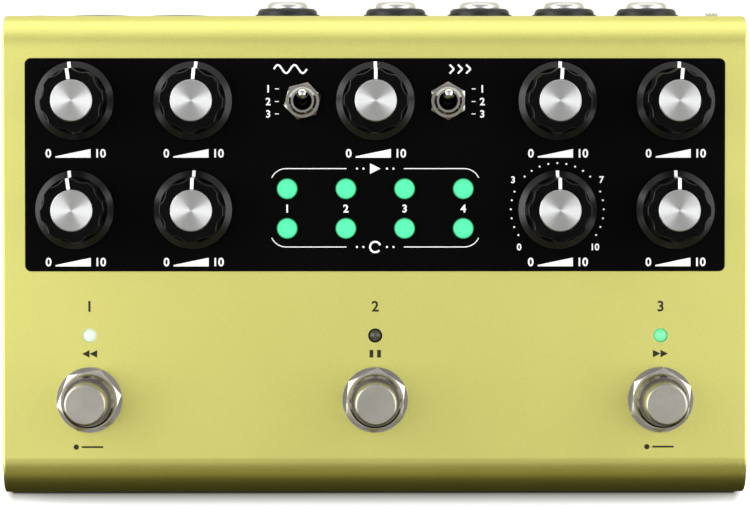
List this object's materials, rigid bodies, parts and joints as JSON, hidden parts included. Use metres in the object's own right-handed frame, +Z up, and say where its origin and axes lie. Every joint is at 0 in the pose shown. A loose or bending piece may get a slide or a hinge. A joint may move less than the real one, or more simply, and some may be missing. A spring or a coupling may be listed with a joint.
{
  "type": "delay pedal",
  "caption": "Wide delay stomp box: gold anodised shell, black control panel with knobs, toggles and lit buttons, foot switches in front and sockets along the rear wall.",
  "frame": {"origin": "on the floor, under the middle of the whole box, jack tips included", "axes": "+X to the player's right, +Y to the socket side, +Z up"},
  "size_m": [0.1714, 0.114, 0.0515],
  "materials": {
    "case_gold": "satin yellow gold anodised, fine grain",
    "plate_metal": "plain satin aluminium",
    "screw_steel": "zinc plated steel",
    "foot_rubber": "matte black rubber",
    "panel_black": "satin black with white printing",
    "switch_metal": "nickel plated",
    "nut_nickel": "bright nickel",
    "socket_black": "moulded black plastic",
    "led_lit": "lit green lens",
    "led_dark": "unlit smoky lens",
    "port_metal": "tinned steel shell",
    "board_green": "green solder mask",
    "chip_black": "moulded chip body",
    "can_metal": "bare aluminium can",
    "knob_black": "polished black moulding, white pointer",
    "cap_metal": "spun aluminium",
    "button_lit": "lit green translucent plastic",
    "plunger_steel": "satin nickel",
    "lever_chrome": "chrome"
  },
  "bodies": {
    "case": {"casing": "case_gold", "rear_panel": "case_gold", "bottom_plate": "plate_metal", "bottom_screws": "screw_steel", "feet": "foot_rubber", "control_panel": "panel_black", "potentiometers": "switch_metal", "potentiometer_nuts": "nut_nickel", "toggle_bodies": "switch_metal", "toggle_nuts": "nut_nickel", "button_switches": "socket_black", "footswitch_bodies": "switch_metal", "footswitch_springs": "screw_steel", "footswitch_washers": "nut_nickel", "footswitch_nuts": "nut_nickel", "lit_leds": "led_lit", "unlit_led": "led_dark", "jack_sockets": "socket_black", "jack_washers": "socket_black", "jack_nuts": "socket_black", "data_sockets": "socket_black", "data_socket_cores": "socket_black", "power_socket": "socket_black", "usb_socket": "port_metal", "level_switch_body": "socket_black", "main_board": "board_green", "board_chips": "chip_black", "board_capacitors": "can_metal"},
    "knob_1": {"knob_1": "knob_black", "knob_cap_1": "cap_metal"},
    "knob_2": {"knob_2": "knob_black", "knob_cap_2": "cap_metal"},
    "knob_3": {"knob_3": "knob_black", "knob_cap_3": "cap_metal"},
    "knob_4": {"knob_4": "knob_black", "knob_cap_4": "cap_metal"},
    "knob_5": {"knob_5": "knob_black", "knob_cap_5": "cap_metal"},
    "knob_6": {"knob_6": "knob_black", "knob_cap_6": "cap_metal"},
    "knob_7": {"knob_7": "knob_black", "knob_cap_7": "cap_metal"},
    "knob_8": {"knob_8": "knob_black", "knob_cap_8": "cap_metal"},
    "knob_9": {"knob_9": "knob_black", "knob_cap_9": "cap_metal"},
    "button_1": {"button_1": "button_lit"},
    "button_2": {"button_2": "button_lit"},
    "button_3": {"button_3": "button_lit"},
    "button_4": {"button_4": "button_lit"},
    "button_5": {"button_5": "button_lit"},
    "button_6": {"button_6": "button_lit"},
    "button_7": {"button_7": "button_lit"},
    "button_8": {"button_8": "button_lit"},
    "footswitch_left": {"footswitch_plunger_left": "plunger_steel"},
    "footswitch_middle": {"footswitch_plunger_middle": "plunger_steel"},
    "footswitch_right": {"footswitch_plunger_right": "plunger_steel"},
    "toggle_left": {"toggle_lever_left": "lever_chrome"},
    "toggle_right": {"toggle_lever_right": "lever_chrome"},
    "level_switch": {"level_switch_slider": "socket_black"}
  },
  "joints": [
    {"name": "knob_1_turn", "type": "hinge", "parent": "case", "child": "knob_1", "pos_m": [-0.06899, 0.03375, 0.0345], "axis": [0, 0, 1], "range_deg": [-158, 142]},
    {"name": "knob_2_turn", "type": "hinge", "parent": "case", "child": "knob_2", "pos_m": [-0.0419, 0.03375, 0.0345], "axis": [0, 0, 1], "range_deg": [-145, 155]},
    {"name": "knob_3_turn", "type": "hinge", "parent": "case", "child": "knob_3", "pos_m": [0, 0.03375, 0.0345], "axis": [0, 0, 1], "range_deg": [-150, 150]},
    {"name": "knob_4_turn", "type": "hinge", "parent": "case", "child": "knob_4", "pos_m": [0.0419, 0.03375, 0.0345], "axis": [0, 0, 1], "range_deg": [-146.6, 153.4]},
    {"name": "knob_5_turn", "type": "hinge", "parent": "case", "child": "knob_5", "pos_m": [0.06899, 0.03375, 0.0345], "axis": [0, 0, 1], "range_deg": [-145, 155]},
    {"name": "knob_6_turn", "type": "hinge", "parent": "case", "child": "knob_6", "pos_m": [-0.06899, 0.00875, 0.0345], "axis": [0, 0, 1], "range_deg": [-158, 142]},
    {"name": "knob_7_turn", "type": "hinge", "parent": "case", "child": "knob_7", "pos_m": [-0.0419, 0.00875, 0.0345], "axis": [0, 0, 1], "range_deg": [-148, 152]},
    {"name": "knob_8_turn", "type": "hinge", "parent": "case", "child": "knob_8", "pos_m": [0.0419, 0.00875, 0.0345], "axis": [0, 0, 1], "range_deg": [-150.5, 149.5]},
    {"name": "knob_9_turn", "type": "hinge", "parent": "case", "child": "knob_9", "pos_m": [0.06899, 0.00875, 0.0345], "axis": [0, 0, 1], "range_deg": [-150, 150]},
    {"name": "button_1_press", "type": "slide", "parent": "case", "child": "button_1", "axis": [0, 0, -1], "range_m": [0, 0.0008], "stiffness_N_per_m": 1500},
    {"name": "button_2_press", "type": "slide", "parent": "case", "child": "button_2", "axis": [0, 0, -1], "range_m": [0, 0.0008], "stiffness_N_per_m": 1500},
    {"name": "button_3_press", "type": "slide", "parent": "case", "child": "button_3", "axis": [0, 0, -1], "range_m": [0, 0.0008], "stiffness_N_per_m": 1500},
    {"name": "button_4_press", "type": "slide", "parent": "case", "child": "button_4", "axis": [0, 0, -1], "range_m": [0, 0.0008], "stiffness_N_per_m": 1500},
    {"name": "button_5_press", "type": "slide", "parent": "case", "child": "button_5", "axis": [0, 0, -1], "range_m": [0, 0.0008], "stiffness_N_per_m": 1500},
    {"name": "button_6_press", "type": "slide", "parent": "case", "child": "button_6", "axis": [0, 0, -1], "range_m": [0, 0.0008], "stiffness_N_per_m": 1500},
    {"name": "button_7_press", "type": "slide", "parent": "case", "child": "button_7", "axis": [0, 0, -1], "range_m": [0, 0.0008], "stiffness_N_per_m": 1500},
    {"name": "button_8_press", "type": "slide", "parent": "case", "child": "button_8", "axis": [0, 0, -1], "range_m": [0, 0.0008], "stiffness_N_per_m": 1500},
    {"name": "footswitch_left_press", "type": "slide", "parent": "case", "child": "footswitch_left", "axis": [0, 0, -1], "range_m": [0, 0.002], "stiffness_N_per_m": 4000},
    {"name": "footswitch_middle_press", "type": "slide", "parent": "case", "child": "footswitch_middle", "axis": [0, 0, -1], "range_m": [0, 0.002], "stiffness_N_per_m": 4000},
    {"name": "footswitch_right_press", "type": "slide", "parent": "case", "child": "footswitch_right", "axis": [0, 0, -1], "range_m": [0, 0.002], "stiffness_N_per_m": 4000},
    {"name": "toggle_left_flip", "type": "hinge", "parent": "case", "child": "toggle_left", "pos_m": [-0.0167, 0.03375, 0.0332], "axis": [1, 0, 0], "range_deg": [0, 22]},
    {"name": "toggle_right_flip", "type": "hinge", "parent": "case", "child": "toggle_right", "pos_m": [0.0167, 0.03375, 0.0332], "axis": [1, 0, 0], "range_deg": [0, 22]},
    {"name": "level_switch_slide", "type": "slide", "parent": "case", "child": "level_switch", "axis": [-1, 0, 0], "range_m": [0, 0.0028]}
  ]
}
